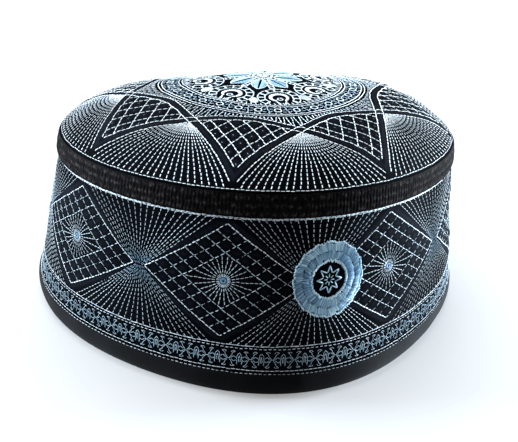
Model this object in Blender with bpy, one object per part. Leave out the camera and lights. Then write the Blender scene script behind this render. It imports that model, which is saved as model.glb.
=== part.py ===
"""An embroidered kufi: a domed crown, a ribbed band, a tall wall, a bound hem and a medallion.

The cap stands on its rim at Z = 0, centred on the Z axis, with its front facing -Y. Every sub-part
is a sheet of cloth laid out as rings round the cap, then thickened inwards by a Solidify modifier.
A rise runs up the wall from 0 at the rim to 1 at the crown's edge, and a reach runs across the
crown from 1 at its edge to 0 at its middle.
"""

import math

import bmesh
import bpy

# Plan of the cap: a ring close to round, a little wider from side to side and a little square.
MEAN_RADIUS = 0.0940
WIDER_ACROSS = 0.028
SQUARER_AT_RIM = 0.022
SQUARER_AT_CROWN = 0.007

# Wall: the rise of each seam, and how the ring narrows upwards and tucks in under the hem.
WALL_HEIGHT = 0.0767
LEAN_TO_FRONT = 0.10
TAPER = 0.127
TUCK = 0.036
HEM_TOP_RISE = 0.129
BAND_LOW_RISE = 0.887
CROWN_SEAM_RISE = 0.940
WALL_LOW_RISE = 0.036

# Crown: a full front half, and a back half that sags away from the middle.
DOME_HEIGHT = 0.0224
DOME_ROUND_SHARE = 0.15
SAG_POWER = 1.8
SAG_SOFTNESS = 0.20
SAG_SPREAD = 2.2

# Cloth and clearances.
CROWN_CLOTH = 0.0018
WALL_CLOTH = 0.0018
BRAID_THICKNESS = 0.0010
BINDING_THICKNESS = 0.0009
SEAM_GAP = 0.0003

# The braid and the binding are a little fuller halfway up, and the binding is drawn in at its fold.
BRAID_BELLY = 0.0002
BINDING_BELLY = 0.0002
FOLD_CORNER_RISE = 0.010
FOLD_CORNER_DRAW = 0.0003
FOLD_FOOT_DRAW = 0.0011

# Medallion: a stitched oval patch on the wall, set a little to the right of the front.
MEDALLION_WIDTH = 0.0285
MEDALLION_HEIGHT = 0.0318
MEDALLION_ACROSS = 0.0054
MEDALLION_MIDDLE_RISE = 0.592
MEDALLION_THICKNESS = 0.0010

# Facets: how many go round, and the reaches of the rows from an edge to its middle.
SEGMENTS_ROUND = 72
WALL_STEPS = 5
CROWN_REACHES = (0.990, 0.970, 0.935, 0.885, 0.820, 0.730, 0.620, 0.500, 0.370, 0.240, 0.110)
MEDALLION_SEGMENTS = 32
MEDALLION_REACHES = (1.0, 0.84, 0.62, 0.38)
SMOOTH_ANGLE = math.radians(50)

FRONT = -math.pi / 2
BACK = math.pi / 2

# Finish of each cloth: linear colour and roughness.
CLOTH_FINISH = ((0.012, 0.016, 0.024), 0.75)
BRAID_FINISH = ((0.035, 0.032, 0.030), 0.50)
BINDING_FINISH = ((0.010, 0.010, 0.012), 0.80)
THREAD_FINISH = ((0.160, 0.340, 0.520), 0.45)


def clear_scene():
    for old in list(bpy.data.objects):
        bpy.data.objects.remove(old, do_unlink=True)


def wall_radius(angle, rise):
    """Distance from the Z axis to the cap's outer face at an angle, at a rise up the wall."""
    square = SQUARER_AT_RIM + (SQUARER_AT_CROWN - SQUARER_AT_RIM) * rise
    plan = 1 + WIDER_ACROSS * math.cos(2 * angle) + square * math.cos(4 * angle)
    under_hem = max(0.0, 1 - rise / HEM_TOP_RISE)
    return MEAN_RADIUS * plan * (1 - TAPER * rise) * (1 - TUCK * under_hem ** 2)


def wall_point(angle, rise, proud=0.0):
    """A point on the wall, standing proud of the outer face by a distance."""
    radius = wall_radius(angle, rise) + proud
    x = radius * math.cos(angle)
    y = radius * math.sin(angle)
    return (x, y, rise * (WALL_HEIGHT - LEAN_TO_FRONT * y))


def crown_profile(angle, reach):
    """Height of the crown above its edge, as a share of the dome's height."""
    full = 1 - DOME_ROUND_SHARE * reach ** 2 - (1 - DOME_ROUND_SHARE) * reach ** 6
    edge = math.hypot(1, SAG_SOFTNESS)
    slack = (edge - math.hypot(reach, SAG_SOFTNESS)) / (edge - SAG_SOFTNESS)
    sagging = max(0.0, slack) ** SAG_POWER
    to_back = (0.5 + 0.5 * math.cos(angle - BACK)) ** SAG_SPREAD
    return full + (sagging - full) * to_back


def crown_point(angle, reach):
    """A point on the crown's outer face. The lean of its edge dies out towards the middle."""
    radius = wall_radius(angle, 1.0) * reach
    x = radius * math.cos(angle)
    y = radius * math.sin(angle)
    lean = LEAN_TO_FRONT * y * reach ** 4
    return (x, y, WALL_HEIGHT - lean + DOME_HEIGHT * crown_profile(angle, reach))


def lay_first_ring(bm, points):
    """A circle of vertices, put in place point by point."""
    bmesh.ops.create_circle(bm, segments=len(points), radius=MEAN_RADIUS)
    ring = list(bm.verts)
    for vertex, point in zip(ring, points):
        vertex.co = point
    return ring


def extrude_ring(bm, ring, points):
    """Extrudes the edges of a ring into the next ring and puts that in place."""
    count = len(ring)
    edges = [bm.edges.get((ring[i], ring[(i + 1) % count])) for i in range(count)]
    made = bmesh.ops.extrude_edge_only(bm, edges=edges)["geom"]
    new_verts = {item for item in made if isinstance(item, bmesh.types.BMVert)}
    next_ring = []
    for vertex, point in zip(ring, points):
        reached = (edge.other_vert(vertex) for edge in vertex.link_edges)
        partner = next(other for other in reached if other in new_verts)
        partner.co = point
        next_ring.append(partner)
    return next_ring


def close_at_middle(bm, ring, middle):
    """Closes the last ring with triangles that meet at one point."""
    face = bmesh.ops.contextual_create(bm, geom=ring)["faces"][0]
    centre = bmesh.ops.poke(bm, faces=[face])["verts"][0]
    centre.co = middle


def make_material(name, finish):
    color, roughness = finish
    material = bpy.data.materials.new(name)
    material.use_nodes = True
    shader = material.node_tree.nodes["Principled BSDF"]
    shader.inputs["Base Color"].default_value = (*color, 1.0)
    shader.inputs["Roughness"].default_value = roughness
    shader.inputs["Metallic"].default_value = 0.0
    return material


def finish_sheet(bm, name, thickness, material):
    """Turns a sheet of rings into an object, thickened inwards from its outer face."""
    bmesh.ops.recalc_face_normals(bm, faces=bm.faces)
    outermost = max(bm.faces, key=lambda face: face.calc_center_median().length)
    if outermost.normal.dot(outermost.calc_center_median()) < 0:
        bmesh.ops.reverse_faces(bm, faces=bm.faces)
    mesh = bpy.data.meshes.new(name)
    bm.to_mesh(mesh)
    bm.free()
    mesh.shade_smooth()
    mesh.set_sharp_from_angle(angle=SMOOTH_ANGLE)
    sheet = bpy.data.objects.new(name, mesh)
    sheet.data.materials.append(material)
    bpy.context.scene.collection.objects.link(sheet)
    solidify = sheet.modifiers.new("cloth", "SOLIDIFY")
    solidify.thickness = thickness
    solidify.offset = -1.0
    solidify.use_even_offset = True
    solidify.use_quality_normals = True
    return sheet


def make_ring_sheet(name, rows, thickness, material, middle=None):
    """Builds a sheet from rows of points, closed at a middle point where one is given."""
    bm = bmesh.new()
    ring = lay_first_ring(bm, rows[0])
    for row in rows[1:]:
        ring = extrude_ring(bm, ring, row)
    if middle is not None:
        close_at_middle(bm, ring, middle)
    return finish_sheet(bm, name, thickness, material)


def turns(count):
    return [2 * math.pi * index / count for index in range(count)]


def wall_row(rise, proud=0.0):
    return [wall_point(angle, rise, proud) for angle in turns(SEGMENTS_ROUND)]


def crown_row(reach):
    return [crown_point(angle, reach) for angle in turns(SEGMENTS_ROUND)]


def make_side_wall():
    """The tall wall: one cloth ring, its lower edge in the hem and its upper edge under the band."""
    material = make_material("wall_cloth", CLOTH_FINISH)
    top = CROWN_SEAM_RISE - SEAM_GAP / WALL_HEIGHT
    rises = [WALL_LOW_RISE, HEM_TOP_RISE / 3, HEM_TOP_RISE * 2 / 3, HEM_TOP_RISE]
    for step in range(1, WALL_STEPS + 1):
        rises.append(HEM_TOP_RISE + (top - HEM_TOP_RISE) * step / WALL_STEPS)
    return make_ring_sheet("side_wall", [wall_row(rise) for rise in rises], WALL_CLOTH, material)


def make_crown():
    """The domed top. Its edge turns down behind the band and meets the wall there."""
    material = make_material("crown_cloth", CLOTH_FINISH)
    rows = [wall_row(CROWN_SEAM_RISE), wall_row((CROWN_SEAM_RISE + 1) / 2), wall_row(1.0)]
    rows += [crown_row(reach) for reach in CROWN_REACHES]
    return make_ring_sheet("crown", rows, CROWN_CLOTH, material, crown_point(FRONT, 0.0))


def make_crown_band():
    """The ribbed braid that covers the seam between the wall and the crown."""
    material = make_material("band_braid", BRAID_FINISH)
    proud = SEAM_GAP + BRAID_THICKNESS
    quarter = (1 - BAND_LOW_RISE) / 4
    rows = [
        wall_row(BAND_LOW_RISE, proud),
        wall_row(BAND_LOW_RISE + quarter, proud + BRAID_BELLY),
        wall_row(1 - quarter, proud + BRAID_BELLY),
        wall_row(1.0, proud),
    ]
    return make_ring_sheet("crown_band", rows, BRAID_THICKNESS, material)


def make_hem_binding():
    """The binding: a folded strip that wraps the wall's lower edge, flat where the cap rests."""
    material = make_material("hem_binding", BINDING_FINISH)
    outer = SEAM_GAP + BINDING_THICKNESS
    inner = -(WALL_CLOTH + SEAM_GAP + BINDING_THICKNESS)
    # Columns: rise up the wall, distance from the wall's outer face.
    fold = (
        (HEM_TOP_RISE, outer),
        (HEM_TOP_RISE * 2 / 3, outer + BINDING_BELLY),
        (HEM_TOP_RISE / 3, outer + BINDING_BELLY / 2),
        (FOLD_CORNER_RISE, outer - FOLD_CORNER_DRAW),
        (0.0, outer - FOLD_FOOT_DRAW),
        (0.0, inner + FOLD_FOOT_DRAW),
        (FOLD_CORNER_RISE, inner + FOLD_CORNER_DRAW),
        (HEM_TOP_RISE / 3, inner),
        (HEM_TOP_RISE * 2 / 3, inner),
        (HEM_TOP_RISE, inner),
    )
    rows = [wall_row(rise, proud) for rise, proud in fold]
    return make_ring_sheet("hem_binding", rows, BINDING_THICKNESS, material)


def medallion_point(turn, reach):
    """A point of the oval patch, wrapped round the wall at its front."""
    across = MEDALLION_ACROSS + MEDALLION_WIDTH / 2 * reach * math.cos(turn)
    up = MEDALLION_HEIGHT / 2 * reach * math.sin(turn)
    front_height = WALL_HEIGHT + LEAN_TO_FRONT * MEAN_RADIUS
    rise = MEDALLION_MIDDLE_RISE + up / front_height
    angle = FRONT + across / wall_radius(FRONT, rise)
    return wall_point(angle, rise, SEAM_GAP + MEDALLION_THICKNESS)


def make_medallion():
    """The stitched oval patch at the front, a thin disc that follows the wall."""
    material = make_material("medallion_thread", THREAD_FINISH)
    rows = []
    for reach in MEDALLION_REACHES:
        rows.append([medallion_point(turn, reach) for turn in turns(MEDALLION_SEGMENTS)])
    middle = medallion_point(0.0, 0.0)
    return make_ring_sheet("medallion", rows, MEDALLION_THICKNESS, material, middle)


def main():
    clear_scene()
    make_side_wall()
    make_crown()
    make_crown_band()
    make_hem_binding()
    make_medallion()


main()
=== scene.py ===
"""Looks of an embroidered kufi: cloth shells, a ribbed band, a hem tape, and every stitch sewn on them.

Each pattern is drawn on a cloth in that cloth's own measure. The wall is measured in steps round it, sixteen
in all, and in its rise. The crown is measured on a flat disc of radius 1. A stitch is modelled once, and
its copies are bent along the drawn lines.
"""

import math

import bpy
import numpy as np
from mathutils import Matrix, Vector


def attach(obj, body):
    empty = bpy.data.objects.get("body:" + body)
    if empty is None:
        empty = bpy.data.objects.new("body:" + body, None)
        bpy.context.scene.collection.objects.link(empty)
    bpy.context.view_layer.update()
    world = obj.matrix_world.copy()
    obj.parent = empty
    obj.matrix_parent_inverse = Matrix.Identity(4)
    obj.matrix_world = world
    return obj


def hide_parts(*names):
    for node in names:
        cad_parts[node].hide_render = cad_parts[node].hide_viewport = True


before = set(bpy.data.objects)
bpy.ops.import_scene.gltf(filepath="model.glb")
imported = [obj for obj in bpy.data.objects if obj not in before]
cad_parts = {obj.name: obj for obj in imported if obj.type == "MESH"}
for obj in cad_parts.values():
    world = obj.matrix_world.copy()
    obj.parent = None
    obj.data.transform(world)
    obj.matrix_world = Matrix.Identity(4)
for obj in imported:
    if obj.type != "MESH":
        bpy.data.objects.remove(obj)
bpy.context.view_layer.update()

MM = 0.001
WHOLE_TURN = 2 * math.pi
FRONT = -math.pi / 2

# The cap's form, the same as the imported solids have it, in metres and in shares of its size.
MEAN_RADIUS = 0.0940
WIDER_ACROSS = 0.028
SQUARER_AT_RIM = 0.022
SQUARER_AT_CROWN = 0.007
WALL_HEIGHT = 0.0767
LEAN_TO_FRONT = 0.10
TAPER = 0.127
TUCK = 0.036
HEM_TOP_RISE = 0.129
BAND_LOW_RISE = 0.887
BAND_TOP_RISE = 0.995
CROWN_SEAM_RISE = 0.940
WALL_LOW_RISE = 0.036
WALL_TOP_RISE = 0.936
DOME_HEIGHT = 0.0224
DOME_ROUND_SHARE = 0.15
SAG_POWER = 1.8
SAG_SOFTNESS = 0.20
SAG_SPREAD = 2.2
CLOTH = 1.8 * MM
TAPE = 0.9 * MM
SEAM_GAP = 0.3 * MM

# The wall's pattern. Steps run round the wall, a knot at each odd step and a diamond at each even one.
STEPS_ROUND = 16
FRONT_STEP = 3
STEP_LENGTH = 34.2 * MM
WALL_MIDDLE_HEIGHT = 80 * MM
KNOT_RISE = 0.572
KNOT_WAIST = 1.3 * MM
DIAMOND_MIDDLE = 0.576
DIAMOND_HALF_RISE = 0.272
DIAMOND_REACH = 0.925
DIAMOND_CELLS = 8
INNER_DIAMOND = 0.5
FAN_TOP = 0.876
FAN_SPREAD_UP = 0.86
FAN_SPREAD_DOWN = 0.89
WALL_RAYS_UP = 20
WALL_RAYS_DOWN = 22
BORDER_TOP = 0.268
BORDER_BOTTOM = 0.146

# The crown's pattern, on a disc of radius 1 that stands for CROWN_RADIUS.
CROWN_RADIUS = 82 * MM
POINTS_ROUND = 8
SECTOR = WHOLE_TURN / POINTS_ROUND
KNOT_REACH = 0.668
TIP_REACH = 0.960
CORNER_REACH = 0.572
CORNER_ROUNDING = 0.22
EDGE_REACH = 0.997
STRAND_HALF = 1.65 * MM / CROWN_RADIUS
CROWN_CELLS = 6
CROWN_FAN_RAYS = 22
CROWN_FAN_SPREAD = 0.455
CLOSE_SHARE = 0.27
OUTER_RING = 0.507
INNER_RING = 0.405
RING_GAP = 1.4 * MM / CROWN_RADIUS

# Relief: how far the padded cloth puffs up between its stitched lines, and over what length that fades.
STRIP_PUFF = 0.35 * MM
CELL_PUFF = 0.28 * MM
STRIP_WIDTH = 2.8 * MM
SOFTNESS = 0.22 * MM
FADE_AT_HEM = 0.05
FADE_AT_BAND = 0.03
FADE_AT_BORDER = 0.03
FADE_AT_FAN_TOP = 0.02
FADE_AT_KNOT = 0.25
STRIP_END = 1.06
FADE_AT_EDGE = 0.06
NET_FADE_AT_EDGE = 0.02
EDGE_ROLL = 0.5 * MM
EDGE_ROLL_START = 0.94
EDGE_ROLL_LENGTH = 0.05
EDGE_ROLL_DEPTH = 0.006

rng = np.random.default_rng(57)


# Measures of places and lines.


def as_points(*axes):
    """Points from their separate coordinates."""
    return np.stack(axes, axis=-1)


def turn_and_reach(x, y):
    """The turn from +X and the distance from the middle."""
    return np.arctan2(y, x), np.hypot(x, y)


def polar(turn, reach):
    return as_points(reach * np.cos(turn), reach * np.sin(turn))


def unit(ways):
    return ways / np.linalg.norm(ways, axis=-1, keepdims=True)


def to_left(ways):
    """The ways that lie to the left of others on a flat pattern."""
    return as_points(-ways[:, 1], ways[:, 0])


def run_along(places):
    """How far along a line each of its places lies."""
    return np.concatenate([[0.0], np.cumsum(np.linalg.norm(np.diff(places, axis=0), axis=1))])


def straight(start, end, count=24):
    """Points evenly along a straight line of the pattern."""
    share = np.linspace(0, 1, count)[:, None]
    return np.asarray(start) + (np.asarray(end) - np.asarray(start)) * share


def ramp(distance, length):
    """0 until the distance is above 0, then rising evenly to 1 over the length."""
    return np.clip(distance / length, 0, 1)


def hump(distance, half_width):
    """1 at distance 0, falling smoothly to 0 at the half width."""
    return (1 - ramp(np.abs(distance), half_width) ** 2) ** 2


# The two cloths.


def plan_radius(angle, rise):
    """Distance from the Z axis to the cap's outer face."""
    square = SQUARER_AT_RIM + (SQUARER_AT_CROWN - SQUARER_AT_RIM) * rise
    plan = 1 + WIDER_ACROSS * np.cos(2 * angle) + square * np.cos(4 * angle)
    under_hem = np.maximum(0.0, 1 - rise / HEM_TOP_RISE)
    return MEAN_RADIUS * plan * (1 - TAPER * rise) * (1 - TUCK * under_hem ** 2)


def wall_place(angle, rise, proud=0.0):
    radius = plan_radius(angle, rise) + proud
    y = radius * np.sin(angle)
    return as_points(radius * np.cos(angle), y, rise * (WALL_HEIGHT - LEAN_TO_FRONT * y))


def crown_profile(angle, reach):
    """Height of the crown above its edge, as a share of the dome's height. Its back sags."""
    full = 1 - DOME_ROUND_SHARE * reach ** 2 - (1 - DOME_ROUND_SHARE) * reach ** 6
    edge = math.hypot(1, SAG_SOFTNESS)
    slack = (edge - np.hypot(reach, SAG_SOFTNESS)) / (edge - SAG_SOFTNESS)
    sagging = np.maximum(0.0, slack) ** SAG_POWER
    to_back = (0.5 - 0.5 * np.cos(angle - FRONT)) ** SAG_SPREAD
    return full + (sagging - full) * to_back


def crown_place(angle, reach):
    radius = plan_radius(angle, 1.0) * reach
    x, y = radius * np.cos(angle), radius * np.sin(angle)
    lean = LEAN_TO_FRONT * y * reach ** 4
    return as_points(x, y, WALL_HEIGHT - lean + DOME_HEIGHT * crown_profile(angle, reach))


def measure_round():
    """Angles of the wall's steps, spaced by length along its plan, from the front round to the front."""
    quarter_degrees = 4 * 360
    angles = np.linspace(FRONT, FRONT + WHOLE_TURN, quarter_degrees + 1)
    run = run_along(wall_place(angles, 0.5)[:, :2])
    return run / run[-1] * STEPS_ROUND, angles


STEP_TABLE, ANGLE_TABLE = measure_round()


def angle_at(step):
    return np.interp((step - FRONT_STEP) % STEPS_ROUND, STEP_TABLE, ANGLE_TABLE)


def step_at(angle):
    return np.interp((angle - FRONT) % WHOLE_TURN, ANGLE_TABLE - FRONT, STEP_TABLE) + FRONT_STEP


def cell_waves(one, other, cells):
    """1 in the middle of each cell of a net and 0 on its lines."""
    return np.abs(np.sin(math.pi * cells * one) * np.sin(math.pi * cells * other))


def soft_waves(a, b):
    """Slow unevenness of handled cloth, from -1 to 1."""
    return 0.5 * np.sin(a * 1.7 + 1.3 * np.sin(b * 2.1)) + 0.5 * np.sin(a * 3.1 - b * 2.3 + 0.7)


def wall_puff(step, rise):
    """The plain strips round the diamonds and the diamonds' cells stand proud of the stitched cloth."""
    across = ((step + 1) % 2 - 1) / DIAMOND_REACH
    up = (rise - DIAMOND_MIDDLE) / DIAMOND_HALF_RISE
    edge = np.abs(across) + np.abs(up)
    half_across = DIAMOND_REACH * STEP_LENGTH
    half_up = DIAMOND_HALF_RISE * WALL_MIDDLE_HEIGHT
    outside = (edge - 1) * half_across * half_up / math.hypot(half_across, half_up)
    # The strips sink away before they meet at a knot.
    narrowing = ramp(STRIP_END - np.abs(across), FADE_AT_KNOT)
    strip = hump(outside - STRIP_WIDTH / 2, STRIP_WIDTH * 0.55) * STRIP_PUFF * narrowing
    cells = cell_waves((across + up + 1) / 2, (across - up + 1) / 2, DIAMOND_CELLS)
    cells = cells * CELL_PUFF * (edge < 1) * (edge > INNER_DIAMOND)
    between = ramp(rise - BORDER_TOP, FADE_AT_BORDER) * ramp(FAN_TOP - rise, FADE_AT_FAN_TOP)
    return (strip + cells) * between


def on_wall(step, rise, proud=0.0):
    """A place on the wall's cloth."""
    angle = angle_at(step)
    free = ramp(rise - HEM_TOP_RISE, FADE_AT_HEM) * ramp(BAND_LOW_RISE - rise, FADE_AT_BAND)
    waves = SOFTNESS * soft_waves(5 * np.cos(angle) + 3 * np.sin(angle), 9 * rise) * free
    return wall_place(angle, rise, wall_puff(step, rise) + waves + proud)


KNOT = polar(0.0, KNOT_REACH)
TIP = polar(SECTOR / 2, TIP_REACH)
NEXT_KNOT = polar(SECTOR, KNOT_REACH)
SIDE = TIP - KNOT
# Half the angle of a fan at its knot, and half the angle of a net at its tip.
FAN_HALF_ANGLE = math.atan2(SIDE[1], SIDE[0])
NET_HALF_ANGLE = FAN_HALF_ANGLE - SECTOR / 2


def strand_bend(count):
    """The strand between two knots, straight from each to a rounded corner."""
    across = np.linspace(-1, 1, count)
    depth = KNOT_REACH * math.cos(SECTOR / 2) - CORNER_REACH
    peak = math.hypot(1, CORNER_ROUNDING)
    bend = depth * (peak - np.hypot(across, CORNER_ROUNDING)) / (peak - CORNER_ROUNDING)
    return straight(KNOT, NEXT_KNOT, count) - bend[:, None] * polar(SECTOR / 2, 1.0)


# The strand from a tip in to a knot, and from that knot to the next one. The last has more points.
STRAND_SIDE = straight(TIP, KNOT, 30)
STRAND_BEND = strand_bend(30)
FINE_BEND = strand_bend(60)


def cell_places(x, y):
    """Where a point lies in its net, along the two sides from the tip. A side is 1 long."""
    sides = np.linalg.inv(np.column_stack([KNOT - TIP, NEXT_KNOT - TIP]))
    return np.moveaxis(as_points(x - TIP[0], y - TIP[1]) @ sides.T, -1, 0)


def crown_puff(angle, reach):
    """The strands and the cells of the nets stand proud. One half sector serves for all of them."""
    folded = np.abs((angle + SECTOR / 2) % SECTOR - SECTOR / 2)
    x, y = reach * np.cos(folded), reach * np.sin(folded)
    half_bend = STRAND_BEND[:len(STRAND_BEND) // 2 + 1]
    distance = np.full(np.shape(x), np.inf)
    for px, py in np.concatenate([half_bend, STRAND_SIDE]):
        distance = np.minimum(distance, np.hypot(x - px, y - py))
    strand = hump(distance, STRAND_HALF * 1.25) * STRIP_PUFF
    one, other = cell_places(x, y)
    inside = (one > 0) * (other > 0) * (one + other < 1.1) * (distance > STRAND_HALF)
    cells = cell_waves(one, other, CROWN_CELLS) * CELL_PUFF * inside
    return (strand + cells) * ramp(EDGE_REACH - reach, NET_FADE_AT_EDGE)


def crown_normal(angle, reach):
    """The way that the crown faces, from two short steps on it."""
    small = 0.001
    x, y = reach * np.cos(angle), reach * np.sin(angle)
    across = crown_place(*turn_and_reach(x + small, y)) - crown_place(*turn_and_reach(x - small, y))
    along = crown_place(*turn_and_reach(x, y + small)) - crown_place(*turn_and_reach(x, y - small))
    return unit(np.cross(across, along))


def on_crown(x, y, proud=0.0):
    """A place on the crown's cloth, from a point of its flat pattern. Past 1 the edge turns down."""
    angle, reach = turn_and_reach(x, y)
    down = np.maximum(0.0, reach - 1)
    level = np.minimum(reach, 1.0)
    free = ramp(EDGE_REACH - level, FADE_AT_EDGE)
    lift = crown_puff(angle, level) + SOFTNESS * soft_waves(7 * x, 7 * y + 2) * free
    lift = lift + EDGE_ROLL * ramp(level - EDGE_ROLL_START, EDGE_ROLL_LENGTH)
    faces = crown_normal(angle, np.minimum(level, 0.985))
    top = crown_place(angle, level) + faces * (lift + proud * (down == 0))[..., None]
    # Round its edge the cloth rolls over the band's upper edge, then turns down behind the band.
    roll = EDGE_ROLL * np.sqrt(1 - ramp(down, EDGE_ROLL_DEPTH))
    return np.where((down > 0)[..., None], wall_place(angle, 1 - down, roll), top)


# Modelling: primitives and edit mode.


def set_mode(mode):
    bpy.ops.object.mode_set(mode=mode)


def deselect():
    bpy.ops.object.select_all(action="DESELECT")


def edit_edges():
    """Goes into edit mode with no edge selected."""
    set_mode("EDIT")
    bpy.ops.mesh.select_mode(type="EDGE")
    bpy.ops.mesh.select_all(action="DESELECT")


def name_it(name):
    piece = bpy.context.object
    piece.name = name
    piece.data.name = name
    return piece


def mesh_places(piece):
    flat = np.empty(len(piece.data.vertices) * 3)
    piece.data.vertices.foreach_get("co", flat)
    return flat.reshape(-1, 3)


def lay_on(piece, places):
    """Moves each vertex of a piece to its new place."""
    piece.data.vertices.foreach_set("co", places.ravel())
    piece.data.update()


def mark_padding(piece, padding):
    """Stores at each vertex how far the cloth is padded there, from 0 to 1."""
    layer = piece.data.attributes.new("padding", "FLOAT", "POINT")
    layer.data.foreach_set("value", np.clip(padding, 0, 1))


def ring_of_rows(name, sides, rows):
    """An upright ring 1 high, cut into rows. Also gives the turn and the height of each vertex."""
    deselect()
    bpy.ops.mesh.primitive_cylinder_add(
        vertices=sides, radius=1, depth=1, location=(0, 0, 0.5), end_fill_type="NOTHING"
    )
    ring = name_it(name)
    bpy.ops.object.transform_apply(location=True)
    edit_edges()
    set_mode("OBJECT")
    for edge in ring.data.edges:
        ends = [ring.data.vertices[index].co.z for index in edge.vertices]
        edge.select = abs(ends[0] - ends[1]) > 0.5
    set_mode("EDIT")
    bpy.ops.mesh.subdivide(number_cuts=rows - 1)
    set_mode("OBJECT")
    x, y, up = mesh_places(ring).T
    return ring, np.arctan2(y, x), up


def finish_piece(piece, material):
    piece.data.materials.clear()
    piece.data.materials.append(material)
    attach(piece, "root")


def finish_cloth(sheet, places, thickness, material, node):
    """Lays a sheet on its places, thickens it inwards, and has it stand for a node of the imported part."""
    lay_on(sheet, places)
    deselect()
    sheet.select_set(True)
    bpy.context.view_layer.objects.active = sheet
    solidify = sheet.modifiers.new("cloth", "SOLIDIFY")
    solidify.thickness = thickness
    solidify.offset = -1.0
    solidify.use_even_offset = True
    solidify.use_quality_normals = True
    bpy.ops.object.modifier_apply(modifier=solidify.name)
    bpy.ops.object.shade_smooth_by_angle(angle=math.radians(50))
    finish_piece(sheet, material)
    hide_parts(node)


# Materials.


def srgb(code):
    """A hex colour as linear red, green, blue and alpha."""
    parts = [int(code[i:i + 2], 16) / 255 for i in (1, 3, 5)]
    linear = [c / 12.92 if c <= 0.04045 else ((c + 0.055) / 1.055) ** 2.4 for c in parts]
    return (*linear, 1.0)


def set_inputs(tree, node, inputs):
    """Inputs are given as values, or as what feeds them: a socket, or a node for its first output."""
    for name, value in inputs.items():
        if isinstance(value, bpy.types.Node):
            value = value.outputs[0]
        if isinstance(value, bpy.types.NodeSocket):
            tree.links.new(value, node.inputs[name])
        else:
            node.inputs[name].default_value = value


def add_node(tree, kind, inputs, **settings):
    """Adds a shader node with its settings and links."""
    made = tree.nodes.new("ShaderNode" + kind)
    for name, value in settings.items():
        setattr(made, name, value)
    set_inputs(tree, made, inputs)
    return made


def new_material(name):
    """A material, its node tree, its shader, and the place on the piece that its patterns read."""
    material = bpy.data.materials.new(name)
    material.use_nodes = True
    tree = material.node_tree
    return material, tree, tree.nodes["Principled BSDF"], add_node(tree, "TexCoord", {}).outputs["Object"]


def blend_colors(tree, share, codes):
    """A colour that runs through the given ones, evenly spaced."""
    blend = add_node(tree, "ValToRGB", {"Fac": share})
    elements = blend.color_ramp.elements
    while len(elements) < len(codes):
        elements.new(0.5)
    for index, code in enumerate(codes):
        elements[index].position = index / (len(codes) - 1)
        elements[index].color = srgb(code)
    return blend


def cotton_cloth():
    """Stiffened cotton twill, dyed near-black: matt, with a diagonal weave and a faint nap.

    Where the padding puffs out the cloth is painted paler, a painted sheen on its raised parts.
    """
    material, tree, shader, place = new_material("cotton_twill_woven")
    xyz = add_node(tree, "SeparateXYZ", {"Vector": place}).outputs
    turn = add_node(tree, "Math", {0: xyz["Y"], 1: xyz["X"]}, operation="ARCTAN2")
    # The real twill lines lie 0.5 mm apart. They are drawn 0.9 mm apart to show in a render.
    twill_pitch = 0.9 * MM
    lines_round = float(round(WHOLE_TURN * MEAN_RADIUS / twill_pitch))
    sideways = add_node(tree, "Math", {0: turn, 1: lines_round}, operation="MULTIPLY")
    upwards = {0: xyz["Z"], 1: WHOLE_TURN / twill_pitch, 2: sideways}
    slant = add_node(tree, "Math", upwards, operation="MULTIPLY_ADD")
    twill = add_node(tree, "Math", {0: slant}, operation="SINE")
    # Tufts of the nap are 1 mm wide, and the patches where the cloth was handled 18 mm.
    nap = add_node(tree, "TexNoise", {"Vector": place, "Scale": 900.0, "Detail": 3.0, "Roughness": 0.6})
    patches = add_node(tree, "TexNoise", {"Vector": place, "Scale": 55.0, "Detail": 2.0})
    mixed = add_node(tree, "Math", {0: nap, 1: patches}, operation="MULTIPLY")
    stretched = add_node(tree, "MapRange", {"Value": mixed, "From Min": 0.12, "From Max": 0.42})
    weave = add_node(tree, "Math", {0: stretched, 1: 0.35}, operation="MULTIPLY")
    # Painted sheen: the colour is paler where the padding puffs the cloth out.
    padding = add_node(tree, "Attribute", {}, attribute_name="padding").outputs["Fac"]
    raised = add_node(tree, "Math", {0: padding, 1: 0.65, 2: weave}, operation="MULTIPLY_ADD")
    relief = add_node(tree, "Math", {0: twill, 1: 0.35, 2: nap}, operation="MULTIPLY_ADD")
    set_inputs(tree, shader, {
        "Base Color": blend_colors(tree, raised, ("#010103", "#04060a", "#16181e")),
        "Roughness": 0.88,
        "IOR": 1.45,
        "Specular IOR Level": 0.015,
        "Normal": add_node(tree, "Bump", {"Height": relief, "Strength": 0.35, "Distance": 0.15 * MM}),
    })
    return material


def knitted_braid():
    """Knitted cotton braid: brown-black, matt and mottled; the grooves between its rows get painted shade.
    """
    material, tree, shader, place = new_material("cotton_braid_knitted")
    # Knit loops are 0.6 mm wide in the real braid, drawn as flecks of about 1 mm.
    tall = add_node(tree, "Mapping", {"Vector": place, "Scale": (1.0, 1.0, 0.5)})
    flecks = add_node(tree, "TexNoise", {"Vector": tall, "Scale": 900.0, "Detail": 3.0, "Roughness": 0.7})
    stretched = add_node(tree, "MapRange", {"Value": flecks, "From Min": 0.38, "From Max": 0.64})
    # Painted shade: the colour is darker in the grooves between the knitted rows.
    painted_groove_shade = add_node(tree, "Attribute", {}, attribute_name="padding").outputs["Fac"]
    shown = add_node(tree, "Math", {0: stretched, 1: painted_groove_shade}, operation="MULTIPLY")
    set_inputs(tree, shader, {
        "Base Color": blend_colors(tree, shown, ("#030304", "#131111", "#39322f")),
        "Roughness": add_node(tree, "MapRange", {"Value": flecks, "To Min": 0.95, "To Max": 0.80}),
        "IOR": 1.45,
        "Specular IOR Level": 0.02,
        "Normal": add_node(tree, "Bump", {"Height": flecks, "Strength": 0.6, "Distance": 0.3 * MM}),
    })
    return material


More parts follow.
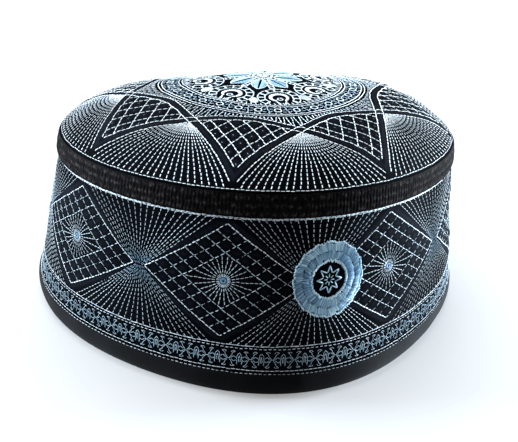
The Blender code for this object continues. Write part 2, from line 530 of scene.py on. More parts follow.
def cotton_tape():
    """Plain woven cotton tape, black and matt, with fine lines that run round the hem."""
    material, tree, shader, place = new_material("cotton_tape_woven")
    height = add_node(tree, "SeparateXYZ", {"Vector": place}).outputs["Z"]
    # Wefts every 0.45 mm in the real tape, drawn every 0.8 mm.
    phase = add_node(tree, "Math", {0: height, 1: WHOLE_TURN / (0.8 * MM)}, operation="MULTIPLY")
    wefts = add_node(tree, "Math", {0: phase}, operation="SINE")
    # Its nap is 0.8 mm wide and its worn patches 11 mm.
    nap = add_node(tree, "TexNoise", {"Vector": place, "Scale": 1200.0, "Detail": 2.0})
    relief = add_node(tree, "Math", {0: wefts, 1: 0.3, 2: nap}, operation="MULTIPLY_ADD")
    worn = add_node(tree, "TexNoise", {"Vector": place, "Scale": 90.0, "Detail": 4.0})
    set_inputs(tree, shader, {
        "Base Color": blend_colors(tree, worn, ("#020203", "#050506", "#0b0b0d")),
        "Roughness": 0.85,
        "IOR": 1.45,
        "Specular IOR Level": 0.06,
        "Sheen Weight": 0.02,
        "Sheen Roughness": 0.5,
        "Normal": add_node(tree, "Bump", {"Height": relief, "Strength": 0.4, "Distance": 0.12 * MM}),
    })
    return material


def rayon_thread(name, codes):
    """Rayon embroidery thread, twisted from two plies and glossy. Its colour runs with the stitch's tone."""
    material, tree, shader, place = new_material(name)
    tone = add_node(tree, "Attribute", {}, attribute_name="tone").outputs["Fac"]
    # The plies cross the thread every 0.5 mm.
    plies = add_node(tree, "TexNoise", {"Vector": place, "Scale": 2000.0, "Detail": 1.0})
    set_inputs(tree, shader, {
        "Base Color": blend_colors(tree, tone, codes),
        "Roughness": 0.36,
        "IOR": 1.52,
        "Specular IOR Level": 0.6,
        "Sheen Weight": 0.3,
        "Sheen Roughness": 0.3,
        "Sheen Tint": srgb("#d4effb"),
        "Normal": add_node(tree, "Bump", {"Height": plies, "Strength": 0.3, "Distance": 0.08 * MM}),
    })
    return material


# Stitches.

RUN_PITCH = 1.9 * MM
RUN_SHARE = 0.70
FINE = 0.22 * MM
THIN = 0.27 * MM
FULL = 0.38 * MM
THICK = 0.50 * MM
SATIN_PITCH = 0.42 * MM
SATIN_SLANT = 0.3
STRAY = 0.07 * MM
UNEVENNESS = 0.06
# Shares of a stitch's width: its height, and of that height how far it is lifted and its ends dip.
STITCH_HEIGHT = 0.55
SATIN_HEIGHT = 0.9
LIFT = 0.35
END_DIP = 0.35
# Tones run from 0, white, to 1, steel blue. These are the ones of the lace, the fans' rays and their knots.
LACE_TONE = 0.3
RAY_TONE = 0.25
KNOT_TONE = 0.85


def model_stitch():
    """One stitch, 1 long, 1 wide and 1 high: a four-sided thread with drawn-in ends."""
    deselect()
    bpy.ops.mesh.primitive_uv_sphere_add(
        segments=4, ring_count=4, radius=0.5, location=(0, 0, 0), rotation=(0, math.pi / 2, 0)
    )
    stitch = name_it("stitch")
    bpy.ops.object.transform_apply(rotation=True)
    set_mode("EDIT")
    bpy.ops.mesh.quads_convert_to_tris()
    set_mode("OBJECT")
    places = mesh_places(stitch)
    faces = np.array([face.vertices[:] for face in stitch.data.polygons])
    bpy.data.objects.remove(stitch)
    ends = np.abs(places[:, 0]) > 0.45
    shoulders = (np.abs(places[:, 0]) > 0.1) & ~ends
    places[shoulders, 1:] *= 1.28
    places[ends, 2] -= END_DIP
    return places, faces


STITCH_PLACES, STITCH_FACES = model_stitch()


def running_line(cloth, path, pitch=RUN_PITCH, share=RUN_SHARE):
    """Cuts a drawn line into stitches. Each is its start, its middle and its end on the pattern."""
    path = np.asarray(path, float)
    run = run_along(cloth(path[:, 0], path[:, 1]))
    count = max(1, round(run[-1] / pitch))
    cuts = (np.arange(count)[:, None] + 0.5 + share * np.array([-0.5, 0.0, 0.5])) * run[-1] / count
    return as_points(*(np.interp(cuts, run, path[:, axis]) for axis in (0, 1)))


def single(*ends):
    """One stitch for each pair of ends."""
    ends = np.asarray(ends, float).reshape(-1, 2, 2)
    return np.stack([ends[:, 0], ends.mean(axis=1), ends[:, 1]], axis=1)


def bend_stitches(cloth, stitches, widths, height):
    """Bends a copy of the modelled stitch along each drawn one. Gives the places of all vertices."""
    start, middle, end = (cloth(stitches[:, i, 0], stitches[:, i, 1]) for i in range(3))
    up = unit(cloth(stitches[:, 1, 0], stitches[:, 1, 1], 1 * MM) - middle)
    side = unit(np.cross(up, unit(end - start)))
    along, across, rise = STITCH_PLACES.T
    ahead = along * 2
    weights = np.stack([(ahead ** 2 - ahead) / 2, 1 - ahead ** 2, (ahead ** 2 + ahead) / 2])
    line = np.einsum("wv,wnc->nvc", weights, np.stack([start, middle, end]))
    high = widths * height
    # No stitch lies quite on its drawn line.
    stray = rng.normal(0, STRAY, (len(stitches), 1))
    places = line + side[:, None] * (across * widths[:, None] + stray)[..., None]
    places += up[:, None] * ((rise + LIFT) * high[:, None])[..., None]
    return places


def sew(drawing, cloth, material, height=STITCH_HEIGHT):
    """Joins all runs of stitches of a drawing into one piece on a cloth, named for the drawing."""
    runs = list(drawing())
    stitches = np.concatenate([run[0] for run in runs])
    widths, tones = (
        np.concatenate([np.broadcast_to(run[column], len(run[0])) for run in runs]) for column in (1, 2)
    )
    count, corners = len(stitches), len(STITCH_PLACES)
    tones = np.clip(tones + rng.normal(0, UNEVENNESS, count), 0, 1)
    widths = widths * (1 + rng.normal(0, UNEVENNESS, count))
    places = bend_stitches(cloth, stitches, widths, height)
    faces = STITCH_FACES[None] + (np.arange(count) * corners)[:, None, None]
    mesh = bpy.data.meshes.new(drawing.__name__)
    mesh.from_pydata(places.reshape(-1, 3), [], faces.reshape(-1, 3))
    mesh.attributes.new("tone", "FLOAT", "POINT").data.foreach_set("value", np.repeat(tones, corners))
    mesh.shade_smooth()
    piece = bpy.data.objects.new(mesh.name, mesh)
    bpy.context.scene.collection.objects.link(piece)
    finish_piece(piece, material)


# Cloth pieces.

WALL_SIDES = 480
WALL_ROWS = 60
CROWN_GRID = 140
# Shares of the way down behind the band at which the crown's edge has a row.
CROWN_EDGE_ROWS = (0.03, 0.07, 0.10, 0.55, 1.0)
RIBS_ROUND = 360
BAND_ROWS = 14
RIB_HEIGHT = 0.13 * MM
RIB_FADE = 0.12
KNIT_ROWS = 3
BAND_PROUD = 1.0 * MM
BRAID = BAND_PROUD - 0.1 * MM
BAND_BELLY = 0.25 * MM
BAND_GROOVE = 0.10 * MM
HEM_SIDES = 360
HEM_ROWS = 26
HEM_RIPPLE = 0.12 * MM
LAP_ANGLE = math.radians(-93.7)
LAP_WIDTH = math.radians(7)
LAP_PROUD = 0.35 * MM


def make_wall_cloth(material):
    """The wall's cloth, puffed out by its padding between the lines of stitches."""
    wall, angle, up = ring_of_rows("wall_cloth", WALL_SIDES, WALL_ROWS)
    step, rise = step_at(angle), WALL_LOW_RISE + (WALL_TOP_RISE - WALL_LOW_RISE) * up
    mark_padding(wall, wall_puff(step, rise) / STRIP_PUFF)
    finish_cloth(wall, on_wall(step, rise), CLOTH, material, "side_wall")


def make_crown_cloth(material):
    """A square sheet pressed to a disc, its edge turned down behind the band."""
    deselect()
    bpy.ops.mesh.primitive_grid_add(x_subdivisions=CROWN_GRID, y_subdivisions=CROWN_GRID, size=2)
    crown = name_it("crown_cloth")
    x, y, flat = mesh_places(crown).T
    lay_on(crown, as_points(x * np.sqrt(1 - y ** 2 / 2), y * np.sqrt(1 - x ** 2 / 2), flat))
    edit_edges()
    bpy.ops.mesh.select_non_manifold()
    reach = 1.0
    for share in CROWN_EDGE_ROWS:
        next_reach = 1 + (1 - CROWN_SEAM_RISE) * share
        bpy.ops.mesh.extrude_edges_move()
        bpy.ops.transform.resize(value=(next_reach / reach, next_reach / reach, 1))
        reach = next_reach
    set_mode("OBJECT")
    x, y, flat = mesh_places(crown).T
    mark_padding(crown, crown_puff(*turn_and_reach(x, y)) / STRIP_PUFF)
    finish_cloth(crown, on_crown(x, y), CLOTH, material, "crown")


def make_band(material):
    """The braid: upright ribs, each with four faces, between two flat edges."""
    band, angle, up = ring_of_rows("band_braid", RIBS_ROUND * 4, BAND_ROWS)
    knit = np.cos(up * WHOLE_TURN * KNIT_ROWS)
    # Rows of knitting run round the braid; the grooves between them get painted shade.
    mark_padding(band, 0.7 - 0.3 * knit)
    lean = 0.5 * np.sin(up * math.pi * 4)
    ribs = RIB_HEIGHT * np.cos(RIBS_ROUND * angle + lean) * ramp(up, RIB_FADE) * ramp(1 - up, RIB_FADE)
    belly = BAND_BELLY * (1 - (2 * up - 1) ** 2) - BAND_GROOVE * knit
    rise = BAND_LOW_RISE + (BAND_TOP_RISE - BAND_LOW_RISE) * up
    places = wall_place(angle, rise, BAND_PROUD + belly + ribs)
    finish_cloth(band, places, BRAID, material, "crown_band")


def make_hem(material):
    """The tape, folded over the wall's lower edge, with the flat foot that the cap stands on."""
    outer, inner = SEAM_GAP + TAPE, -(CLOTH + SEAM_GAP + TAPE)
    # Columns: share of the way round the fold, rise up the wall, distance from the wall's outer face.
    fold = np.array((
        (0.00, HEM_TOP_RISE, outer - 0.9 * MM),
        (0.03, HEM_TOP_RISE - 0.004, outer - 0.6 * MM),
        (0.15, HEM_TOP_RISE * 2 / 3, outer - 0.3 * MM),
        (0.30, HEM_TOP_RISE / 3, outer - 0.1 * MM),
        (0.42, 0.010, outer - 0.3 * MM),
        (0.46, 0.000, outer - 1.1 * MM),
        (0.54, 0.000, inner + 1.1 * MM),
        (0.58, 0.010, inner + 0.3 * MM),
        (0.75, HEM_TOP_RISE / 3, inner),
        (0.90, HEM_TOP_RISE * 2 / 3, inner),
        (1.00, HEM_TOP_RISE, inner),
    ))
    hem, angle, up = ring_of_rows("hem_tape", HEM_SIDES, HEM_ROWS)
    share = 1 - up
    rise, proud = (np.interp(share, fold[:, 0], fold[:, column]) for column in (1, 2))
    ripple = HEM_RIPPLE * np.sin(23 * angle + 1.5 * np.sin(7 * angle))
    # The tape's end laps over its start, with an upright edge.
    past = (angle - LAP_ANGLE) / LAP_WIDTH
    lap = LAP_PROUD * (past > 0) * np.clip(1 - past, 0, 1)
    outside = ramp(0.4 - share, 0.1)
    places = wall_place(angle, rise, proud + (ripple + lap) * outside)
    finish_cloth(hem, places, TAPE, material, "hem_binding")


# Embroidery of the wall. Each drawing yields its runs: stitches, their width and their tone.

BURST_RAYS = 26
HUB_RADIUS = 1.3 * MM
OUTLINE_PITCH = 1.8 * MM
NET_PITCH = 2.4 * MM
SECOND_TOP = BORDER_TOP - 0.0135
SECOND_BOTTOM = BORDER_BOTTOM - 0.0175
MOTIFS_ROUND = 68
# Columns: across, up. Lines of the border's star and arch, in mm from their middles.
STAR_ARM = ((0.4, 0.3), (1.2, 1.3), (1.5, 2.3), (2.5, 3.0))
STAR_HOOK = ((2.5, 3.0), (1.4, 3.2), (0.8, 2.6))
STAR_WING = ((1.0, 0.3), (2.0, 1.1), (2.9, 0.5))
STAR_BAR = ((-1.1, 0.0), (1.1, 0.0))
ARCH_LEG = ((0.0, 2.5), (0.8, 1.5), (1.0, -0.4), (0.8, -2.4))
ARCH_INNER = ((0.0, 1.3), (0.35, 0.2), (0.35, -1.4))
ALL_WAYS = ((1, 1), (-1, 1), (1, -1), (-1, -1))
# Each line of a motif with the ways that it is mirrored.
STAR = ((STAR_ARM, ALL_WAYS), (STAR_HOOK, ALL_WAYS), (STAR_WING, ALL_WAYS), (STAR_BAR, ALL_WAYS[:1]))
ARCH = ((ARCH_LEG, ALL_WAYS[:2]), (ARCH_INNER, ALL_WAYS[:2]))


def wall_fans():
    """From each knot a fan of stitched rays up to the band and another down to the border."""
    waist = KNOT_WAIST / STEP_LENGTH
    fans = (FAN_TOP, FAN_SPREAD_UP, WALL_RAYS_UP), (BORDER_TOP, FAN_SPREAD_DOWN, WALL_RAYS_DOWN)
    for knot in range(1, STEPS_ROUND, 2):
        for line, spread, rays in fans:
            shares = np.linspace(-1, 1, rays)
            for index, share in enumerate(shares):
                start = np.array([knot + share * waist, KNOT_RISE])
                tip = np.array([knot + share * spread, line])
                # Rays side by side begin at three distances from the knot.
                begin = 0.05 * (index % 3)
                ray = running_line(on_wall, straight(start + (tip - start) * begin, tip))
                out = np.linspace(0, 1, len(ray))
                width = np.interp(out, (0.0, 0.35), (0.6 * FINE, 0.9 * FINE))
                yield ray, width, RAY_TONE + (KNOT_TONE - RAY_TONE) * (1 - out) ** 4
            for one, other in zip(shares[::2], shares[1::2]):
                yield single((knot + one * spread, line), (knot + other * spread, line)), THIN, RAY_TONE


def diamond_place(centre, one, other):
    """A place in a diamond. One and other run from its left corner along its upper and lower sides."""
    across = (one + other - 1) * DIAMOND_REACH
    return np.array([centre + across, DIAMOND_MIDDLE + (one - other) * DIAMOND_HALF_RISE])


def wall_diamonds():
    """A net of cells in each diamond, with a burst of rays in the smaller diamond at its middle."""
    cells = DIAMOND_CELLS
    inner = [round(cells * (1 + side * INNER_DIAMOND) / 2) for side in (-1, 1)]
    for centre in range(0, STEPS_ROUND, 2):
        for index in range(cells + 1):
            outline = index in (0, cells)
            width, tone = (FULL, 0.15) if outline else (THIN if index in inner else FINE, 0.35)
            spans = [(0, inner[0]), (inner[1], cells)] if inner[0] < index < inner[1] else [(0, cells)]
            for low, high in spans:
                ends = np.array(((low, index), (high, index))) / cells
                # Inside, two stitches go to a cell. The lines that rise to the right are more broken.
                for corners, inner_share in ((ends, 0.78), (ends[:, ::-1], 0.9)):
                    pitch, share = (OUTLINE_PITCH, 0.95) if outline else (NET_PITCH, inner_share)
                    path = straight(*(diamond_place(centre, *corner) for corner in corners))
                    yield running_line(on_wall, path, pitch, share), width, tone
        yield from diamond_burst(centre)


def diamond_burst(centre):
    """Rays from a small hub out to the inner diamond's sides."""
    middle = diamond_place(centre, 0.5, 0.5)
    half_across = INNER_DIAMOND * DIAMOND_REACH * STEP_LENGTH
    half_up = INNER_DIAMOND * DIAMOND_HALF_RISE * WALL_MIDDLE_HEIGHT
    for turn in np.arange(BURST_RAYS) * WHOLE_TURN / BURST_RAYS:
        across, up = math.cos(turn), math.sin(turn)
        # A point of the diamond's side lies where the shares of its two half widths add up to 1.
        reach = 1 / (abs(across) / half_across + abs(up) / half_up)
        way = np.array([across / STEP_LENGTH, up / WALL_MIDDLE_HEIGHT])
        path = straight(middle + way * HUB_RADIUS, middle + way * reach * 0.94)
        yield running_line(on_wall, path, 1.7 * MM, 0.84), FINE, 0.3
        yield single(middle + way * HUB_RADIUS * 0.3, middle + way * HUB_RADIUS), FINE, 1.0


def wall_border():
    """Lines round the wall below the band and along the border, and the border's stars and arches."""
    round_steps = np.linspace(0, STEPS_ROUND, 800)
    # Columns: rise, pitch in mm, share stitched, width, tone.
    for rise, pitch, share, width, tone in (
        (FAN_TOP + 0.003, 2.0, 0.97, FULL, 0.05),
        (FAN_TOP - 0.002, 1.7, 0.85, THIN, 0.1),
        (BORDER_TOP, 1.9, 0.94, THIN, 0.2),
        (SECOND_TOP, 1.85, 0.66, THIN, 0.2),
        (BORDER_BOTTOM, 1.9, 0.94, THIN, 0.2),
        (SECOND_BOTTOM, 1.85, 0.66, THIN, 0.2),
    ):
        path = as_points(round_steps, np.full_like(round_steps, rise))
        yield running_line(on_wall, path, pitch * MM, share), width, tone
    middle = (SECOND_TOP + BORDER_BOTTOM) / 2
    for motif in range(MOTIFS_ROUND):
        for shift, strokes in ((0.0, STAR), (0.5, ARCH)):
            centre = (motif + shift) * STEPS_ROUND / MOTIFS_ROUND
            for stroke, flips in strokes:
                for flip in flips:
                    points = np.array(stroke) * flip * MM
                    points = points / (STEP_LENGTH, WALL_MIDDLE_HEIGHT) + (centre, middle)
                    for ends in zip(points[:-1], points[1:]):
                        yield single(*ends), FINE, 0.55


# Embroidery of the crown.

# Pitches on the crown are in mm.
FAN_PITCH = 1.75
RING_PITCH = 1.6
TEETH_ROUND = 184
FLOWERS_ROUND = 30
# The rosette, in mm from the middle of the crown or of a scallop.
SCALLOP_OUT = 25.6
SCALLOP_EYE = 3.6
SCALLOP_RAILS = (6.0, 8.9)
SCALLOP_HALF_TURN = math.radians(128)
PETAL_SPAN = (5.0, 16.6)
PETAL_SLIT = 0.35
LADDER_SPAN = (3.0, 16.4)
LADDER_HALF = 1.0


def turned(points, sector):
    """Pattern points turned round the crown by a number of sectors."""
    angle = sector * SECTOR
    turn = np.array(((math.cos(angle), math.sin(angle)), (-math.sin(angle), math.cos(angle))))
    return np.asarray(points) @ turn


def offset(path, distance):
    """A line beside a drawn one, to its left where the distance is positive."""
    return path + to_left(unit(np.gradient(path, axis=0))) * distance


def lace_place(turn, out, centre=(0.0, 0.0)):
    """A point at a turn and a distance in mm from a centre of the crown's pattern."""
    return np.asarray(centre) + polar(turn, out * MM / CROWN_RADIUS)


def arc_path(centre, radius, start, end, count=40):
    """Points along an arc round a point of the pattern. The radius is in mm."""
    return lace_place(np.linspace(start, end, count), radius, centre)


def crown_line(path, pitch, share=1.0, sector=0):
    """Cuts a drawn line of the crown into stitches, in one of its sectors. The pitch is in mm."""
    return running_line(on_crown, turned(path, sector), pitch * MM, share)


def crown_bar(start, end, centre=(0.0, 0.0)):
    """One stitch of the crown. Its ends are a turn and a distance in mm each."""
    return single(lace_place(*start, centre), lace_place(*end, centre))


def satin_line(path, width):
    """Close stitches across a drawn line of the crown, which make a raised cord. The width is in mm."""
    centres = running_line(on_crown, path, SATIN_PITCH, 1.0)
    ways = unit(centres[:, 2] - centres[:, 0])
    across = to_left(ways) + SATIN_SLANT * ways
    width = np.ravel(width) * MM
    widths = np.interp(np.linspace(0, 1, len(centres)), np.linspace(0, 1, len(width)), width)
    half = across * (widths / 2 / CROWN_RADIUS)[:, None]
    return np.stack([centres[:, 1] - half, centres[:, 1], centres[:, 1] + half], axis=1)


def crown_fans():
    """From each knot a fan of rays out to the stitched line at the crown's edge."""
    apex = polar(0.0, KNOT_REACH + STRAND_HALF / math.sin(FAN_HALF_ANGLE))
    ends = np.linspace(-CROWN_FAN_SPREAD, CROWN_FAN_SPREAD, CROWN_FAN_RAYS) * SECTOR
    for sector in range(POINTS_ROUND):
        for index, end in enumerate(ends):
            tip = polar(end, EDGE_REACH - 0.004)
            begin = 0.02 + 0.03 * (index % 3)
            start, close_end = (apex + (tip - apex) * share for share in (begin, CLOSE_SHARE))
            # Close to the knot the stitches are finer and meet end to end.
            close = crown_line(straight(start, close_end), FAN_PITCH, 1.05, sector)
            yield close, np.linspace(0.8 * FINE, FINE, len(close)), 0.1
            ray = crown_line(straight(close_end, tip), FAN_PITCH, 0.72, sector)
            yield ray, np.linspace(THIN, FULL, len(ray)), np.linspace(RAY_TONE, 0.12, len(ray))


def crown_star():
    """The strands that cross at the knots, with a line along each side, and the nets between them."""
    # A strand comes in from one tip, passes two knots and ends at the tip after next.
    legs = (STRAND_SIDE * (1, -1))[:-1], STRAND_BEND[:-1], turned(STRAND_SIDE[::-1], 1)
    strand = np.concatenate(legs)
    for sector in range(POINTS_ROUND):
        for side in (-1, 1):
            stitches = crown_line(offset(strand, side * STRAND_HALF), 1.9, 0.92, sector)
            # At its second knot the strand passes under the other one, which hides its lines.
            crossing = turned(NEXT_KNOT, sector)
            shown = np.linalg.norm(stitches[:, 1] - crossing, axis=-1) > STRAND_HALF * 0.9
            # At a tip the lines of two strands meet and end.
            turns = np.arctan2(stitches[:, :, 1], stitches[:, :, 0]) - sector * SECTOR
            turns = (turns - SECTOR / 2 + math.pi) % WHOLE_TURN - math.pi
            shown &= np.abs(turns).max(axis=1) < SECTOR * 1.003
            yield stitches[shown], FULL, 0.05
        yield from crown_net(sector)


def crown_net(sector):
    """Lines side by side with a net's two outer sides, and a short stitch in each cell."""
    bend = FINE_BEND + polar(SECTOR / 2, STRAND_HALF)
    far_one, far_other = cell_places(bend[:, 0], bend[:, 1])

    def place(one, other):
        return TIP + one * (KNOT - TIP) + other * (NEXT_KNOT - TIP)

    near = STRAND_HALF / (math.hypot(*SIDE) * math.sin(2 * NET_HALF_ANGLE))
    for index in range(1, CROWN_CELLS):
        share = index / CROWN_CELLS
        far = np.interp(share, far_other, far_one)
        along = straight(place(share, near), place(share, far))
        across = straight(place(near, share), place(far, share))
        yield crown_line(along, 2.2, 0.86, sector), FULL, 0.2
        yield crown_line(across, 2.0, 0.95, sector), FULL, 0.1
        for other in range(1, CROWN_CELLS - index + 1):
            beside = (other - 0.5) / CROWN_CELLS
            dash = [place(share - back / CROWN_CELLS, beside) for back in (0.54, 0.42)]
            yield single(*turned(dash, sector)), FINE * 0.6, 0.6


def ring_path(reach):
    return polar(np.linspace(0, WHOLE_TURN, 400), reach)


def crown_rings():
    """The rosette's double rings, flowers between them and teeth outside, and the line at the edge."""
    for reach in (OUTER_RING, OUTER_RING + RING_GAP, INNER_RING, INNER_RING + RING_GAP):
        yield crown_line(ring_path(reach), RING_PITCH), FULL, 0.15
    yield crown_line(ring_path(EDGE_REACH), 1.8, 0.85), FINE, 0.1
    middle = (OUTER_RING + INNER_RING + RING_GAP) / 2
    middle_out = middle * CROWN_RADIUS / MM
    for flower in range(FLOWERS_ROUND):
        turn = WHOLE_TURN * flower / FLOWERS_ROUND
        centre = polar(turn, middle)
        for petal in np.arange(8) / 8 * WHOLE_TURN + turn:
            yield crown_bar((petal - 0.42, 1.5), (petal + 0.42, 1.5), centre), THICK, 0.3
            yield crown_bar((petal + 0.2, 2.2), (petal + 0.4, 3.7), centre), FULL, 0.55
        between = turn + math.pi / FLOWERS_ROUND
        for side in (-1, 1):
            for out, back in ((0.0, 1.4), (1.5, 3.2)):
                start = (between, middle_out + side * out)
                yield crown_bar(start, (between + side * 0.012, middle_out + side * back)), FULL, 0.6
    # Teeth fill the ground between the outer ring and the strands.
    bend_turn, bend_reach = turn_and_reach(*FINE_BEND.T)
    near = OUTER_RING + RING_GAP + 0.012
    for tooth in range(TEETH_ROUND):
        turn = WHOLE_TURN * (tooth + 0.5) / TEETH_ROUND
        far = max(np.interp(turn % SECTOR, bend_turn, bend_reach) - STRAND_HALF - 0.008, near + 0.012)
        lean = 0.014 * (-1) ** tooth
        path = straight(polar(turn - lean / 2, near), polar(turn + lean / 2, far), 8)
        yield crown_line(path, 2.2, 0.88), FULL, 0.15 + 0.3 * rng.random()


def crown_rosette():
    """Lace at the middle: a star, eight petals, and eight scallops whose ladders face the star."""
    for turn in np.arange(16) / 16 * WHOLE_TURN:
        yield crown_bar((turn, 0.4), (turn, 2.8)), THICK, LACE_TONE
        yield crown_bar((turn, 2.9), (turn, 4.6)), FULL, 0.15
    for sector in range(POINTS_ROUND):
        spoke = sector * SECTOR
        yield from rosette_ladder(spoke)
        yield from rosette_scallop(spoke)
        yield from rosette_petal(spoke + SECTOR / 2)
        # Short bars join the scallops and drops to the inner ring.
        for turn in spoke + np.linspace(-0.46, 0.46, 13) * SECTOR:
            yield crown_bar((turn, 31.0), (turn + 0.015, 32.9)), FULL, 0.3


def rosette_ladder(spoke):
    """Two lines from the star to a scallop, with rungs between them."""
    low, high = LADDER_SPAN
    for side in (-1, 1):
        start, end = (lace_place(spoke + side * LADDER_HALF / out, out) for out in (low, high))
        yield crown_line(straight(start, end), 1.5, 0.98), THICK, LACE_TONE
    for rung in np.arange(low + 1.2, high, 1.9):
        half = LADDER_HALF / rung
        yield crown_bar((spoke - half, rung), (spoke + half, rung)), THICK, 0.1


def rosette_scallop(spoke):
    """A raised ring open to the outside, and round it a ladder of bars over dark ground."""
    centre = lace_place(spoke, SCALLOP_OUT)
    inwards = spoke + math.pi
    eye = arc_path(centre, SCALLOP_EYE, inwards - math.radians(150), inwards + math.radians(150))
    yield satin_line(eye, (0.9, 1.7, 2.1, 1.7, 0.9)), FULL, 0.05
    drop = arc_path(lace_place(spoke, SCALLOP_OUT + 1.6), 1.1, 0, WHOLE_TURN, 20)
    yield satin_line(drop, 0.6), FULL, LACE_TONE
    for radius in SCALLOP_RAILS:
        rail = arc_path(centre, radius, inwards - SCALLOP_HALF_TURN, inwards + SCALLOP_HALF_TURN)
        yield crown_line(rail, 1.3), THICK, LACE_TONE
    for bar in np.linspace(-SCALLOP_HALF_TURN, SCALLOP_HALF_TURN, 11) + inwards:
        yield crown_bar((bar, SCALLOP_RAILS[0]), (bar, SCALLOP_RAILS[1]), centre), 0.75 * MM, LACE_TONE
    for leg in (-1, 1):
        start = lace_place(spoke + leg * math.radians(28), SCALLOP_EYE + 0.8, centre)
        yield satin_line(straight(start, lace_place(spoke + leg * 0.03, 32.4)), 0.7), FULL, 0.1


def rosette_petal(petal):
    """The line round a petal, and a solid drop beyond it."""
    out = np.linspace(*PETAL_SPAN, 20)
    half_width = 3.4 * np.sin(np.linspace(0, 1, 20) * math.pi) ** 0.8
    for side in (-1, 1):
        yield crown_line(lace_place(petal + side * half_width / out, out), 1.4), THICK, LACE_TONE
    drop = straight(lace_place(petal, 25.6), lace_place(petal, 31.2))
    yield satin_line(drop, (1.2, 3.4, 4.6, 4.2, 2.2)), FULL, LACE_TONE


def crown_petals():
    """Satin on each side of the petals' dark slits, with painted shade making one side a little darker."""
    lengths = np.linspace(PETAL_SPAN[0], PETAL_SPAN[1] - 1.4, 30)
    half_widths = 2.4 * np.sin(np.linspace(0.12, 0.97, 30) * math.pi) ** 0.8
    for petal in (np.arange(POINTS_ROUND) + 0.5) * SECTOR:
        for length, half_width in zip(lengths, half_widths):
            # Painted shade: the satin on one side of each petal is toned a little darker.
            for side, tone in ((-1, 0.4), (1, 0.7)):
                inner, outer = side * PETAL_SLIT / length, side * (PETAL_SLIT + half_width) / length
                yield crown_bar((petal + inner, length), (petal + outer, length + 1.2)), FULL, tone


# The medallion: a generic oval patch.

MEDALLION_WIDTH = 28.5 * MM
MEDALLION_HEIGHT = 31.8 * MM
MEDALLION_ACROSS = 5.4 * MM
MEDALLION_RISE = 0.592
MEDALLION_PROUD = SEAM_GAP + 1.0 * MM
MEDALLION_SCALLOPS = 16
MEDALLION_WAVE = 0.035
STAR_POINTS = 8
# Columns: inner and outer share of the oval, stitches round it, tone, slant as a turn in radians.
MEDALLION_ROWS = (
    (0.955, 1.01, 300, 0.12, 0.02),
    (0.755, 0.96, 310, 0.50, 0.07),
    (0.54, 0.77, 230, 0.62, -0.06),
    (0.455, 0.53, 150, 0.08, 0.03),
)


def on_medallion(across, up, proud=0.0):
    """A place on the patch's face, from metres across and up from its middle."""
    front_height = WALL_HEIGHT + LEAN_TO_FRONT * MEAN_RADIUS
    rise = MEDALLION_RISE + up / front_height
    angle = FRONT + (MEDALLION_ACROSS + across) / plan_radius(FRONT, rise)
    return wall_place(angle, rise, MEDALLION_PROUD + proud)


def oval(share, turn):
    """A point of the oval at a share of its size."""
    return polar(turn, share) * (MEDALLION_WIDTH / 2, MEDALLION_HEIGHT / 2)


def make_medallion_ground(material):
    """The patch's own cloth, a thin oval with a rounded edge."""
    deselect()
    bpy.ops.mesh.primitive_circle_add(vertices=96, radius=1, fill_type="NGON")
    ground = name_it("medallion_ground")
    set_mode("EDIT")
    bpy.ops.mesh.select_all(action="SELECT")
    for inset in (0.04, 0.08, 0.2, 0.2, 0.2):
        bpy.ops.mesh.inset(thickness=inset)
    bpy.ops.mesh.poke()
    set_mode("OBJECT")
    x, y, flat = mesh_places(ground).T
    edge = ramp(np.hypot(x, y) - 0.9, 0.1) ** 2 * 0.5 * MM
    places = on_medallion(x * MEDALLION_WIDTH / 2, y * MEDALLION_HEIGHT / 2, -edge)
    finish_cloth(ground, places, 0.5 * MM, material, "medallion")


def medallion_stitches():
    """Rows of satin inside a pale edge, a pale ring and an eight-pointed star on the dark middle."""
    for inner, outer, count, tone, slant in MEDALLION_ROWS:
        turns = np.arange(count) / count * WHOLE_TURN
        jitter = rng.normal(0, 0.012, count)
        if outer > 0.6:
            jitter -= MEDALLION_WAVE * np.abs(np.sin(turns * MEDALLION_SCALLOPS / 2))
        ends = np.stack([oval(inner + jitter, turns), oval(outer + jitter, turns + slant)], axis=1)
        # Painted highlight and painted shade: round the oval two opposite sides are lighter and two darker.
        # The noise is random tone.
        shade = tone + 0.15 * np.sin(turns * 2 + 1) + rng.normal(0, 0.23, count)
        yield single(*ends.reshape(-1, 2)), FULL, shade
    for turn in np.arange(STAR_POINTS) * WHOLE_TURN / STAR_POINTS:
        for side in (-1, 1):
            valley = oval(0.18, turn + side * math.pi / STAR_POINTS)
            yield single(valley, oval(0.36, turn)), THICK, LACE_TONE
        yield single(oval(0.05, turn), oval(0.15, turn)), FULL, LACE_TONE


# Stage, light and camera.

# The photograph's view, fitted to the cap's outline and pattern in its 518 by 442 frame.
CAMERA_AZIMUTH = math.radians(-17.387)
CAMERA_ELEVATION = math.radians(29.191)
CAMERA_ROLL = math.radians(4.477)
CAMERA_DISTANCE = 0.4091
CAMERA_LOOKS_AT = (0.00389, 0.00147, 0.02640)
FOCAL_PIXELS = 866.7
FRAME_WIDTH = 518


def make_floor():
    """Pale matt paper with a faint grain, lifted by a little light of its own."""
    deselect()
    bpy.ops.mesh.primitive_plane_add(size=6, location=(0, 0, 0))
    floor = name_it("floor")
    material, tree, shader, place = new_material("paper_floor_matt")
    grain = add_node(tree, "TexNoise", {"Vector": place, "Scale": 30.0})
    set_inputs(tree, shader, {
        "Base Color": blend_colors(tree, grain, ("#828282", "#858585")),
        "Roughness": 0.95,
        "Emission Color": srgb("#ffffff"),
        "Emission Strength": 0.32,
    })
    floor.data.materials.append(material)


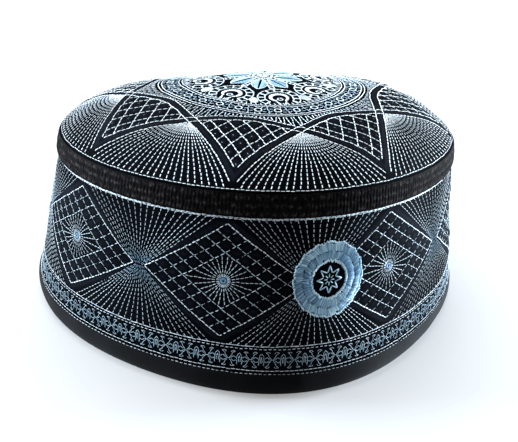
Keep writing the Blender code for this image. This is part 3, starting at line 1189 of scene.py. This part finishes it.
def light_scene():
    """A dim blue room, a large light above and behind, and a cool one low on each side."""
    world = bpy.data.worlds.new("studio")
    bpy.context.scene.world = world
    world.use_nodes = True
    background = world.node_tree.nodes["Background"]
    background.inputs["Color"].default_value = srgb("#c8dcff")
    background.inputs["Strength"].default_value = 0.06
    middle = Vector((0, 0, 0.05))
    # Columns: name, place, width and height, power, colour.
    for name, place, size, power, code in (
        ("top", (-0.1, 0.30, 1.1), (1.2, 0.9), 32, "#ffffff"),
        ("left", (-0.9, 0.32, 0.25), (0.5, 0.18), 50, "#dcedfb"),
        ("right", (0.95, 0.0, 0.13), (0.4, 0.18), 76, "#dcedfb"),
    ):
        softbox = bpy.data.lights.new(name, "AREA")
        softbox.shape = "RECTANGLE"
        softbox.size, softbox.size_y = size
        softbox.energy = power
        softbox.color = srgb(code)[:3]
        light = bpy.data.objects.new(name, softbox)
        bpy.context.scene.collection.objects.link(light)
        light.location = place
        light.rotation_euler = (middle - Vector(place)).to_track_quat("-Z", "Y").to_euler()


def add_camera():
    level_share = math.cos(CAMERA_ELEVATION)
    back = Vector((
        math.sin(CAMERA_AZIMUTH) * level_share,
        -math.cos(CAMERA_AZIMUTH) * level_share,
        math.sin(CAMERA_ELEVATION),
    ))
    level = (-back).cross(Vector((0, 0, 1))).normalized()
    upright = level.cross(-back)
    right = math.cos(CAMERA_ROLL) * level + math.sin(CAMERA_ROLL) * upright
    up = -math.sin(CAMERA_ROLL) * level + math.cos(CAMERA_ROLL) * upright
    data = bpy.data.cameras.new("camera")
    data.sensor_width = 36.0
    data.lens = FOCAL_PIXELS * data.sensor_width / FRAME_WIDTH
    camera = bpy.data.objects.new("camera", data)
    bpy.context.scene.collection.objects.link(camera)
    place = Vector(CAMERA_LOOKS_AT) + back * CAMERA_DISTANCE
    camera.matrix_world = Matrix.Translation(place) @ Matrix((right, up, back)).transposed().to_4x4()
    bpy.context.scene.camera = camera


def main():
    add_camera()
    make_floor()
    light_scene()
    bpy.context.scene.view_settings.view_transform = "Standard"

    cloth = cotton_cloth()
    make_wall_cloth(cloth)
    make_crown_cloth(cloth)
    make_band(knitted_braid())
    make_hem(cotton_tape())
    make_medallion_ground(cloth)

    thread = rayon_thread("rayon_thread_twisted", ("#dde2e5", "#95aab6", "#457a9c"))
    for drawing in (wall_fans, wall_diamonds, wall_border):
        sew(drawing, on_wall, thread)
    for drawing in (crown_fans, crown_star, crown_rings, crown_rosette):
        sew(drawing, on_crown, thread)
    satin = rayon_thread("rayon_satin_stitched", ("#c2dce5", "#739fb9", "#406b8d"))
    sew(crown_petals, on_crown, satin)
    sew(medallion_stitches, on_medallion, satin, SATIN_HEIGHT)


main()
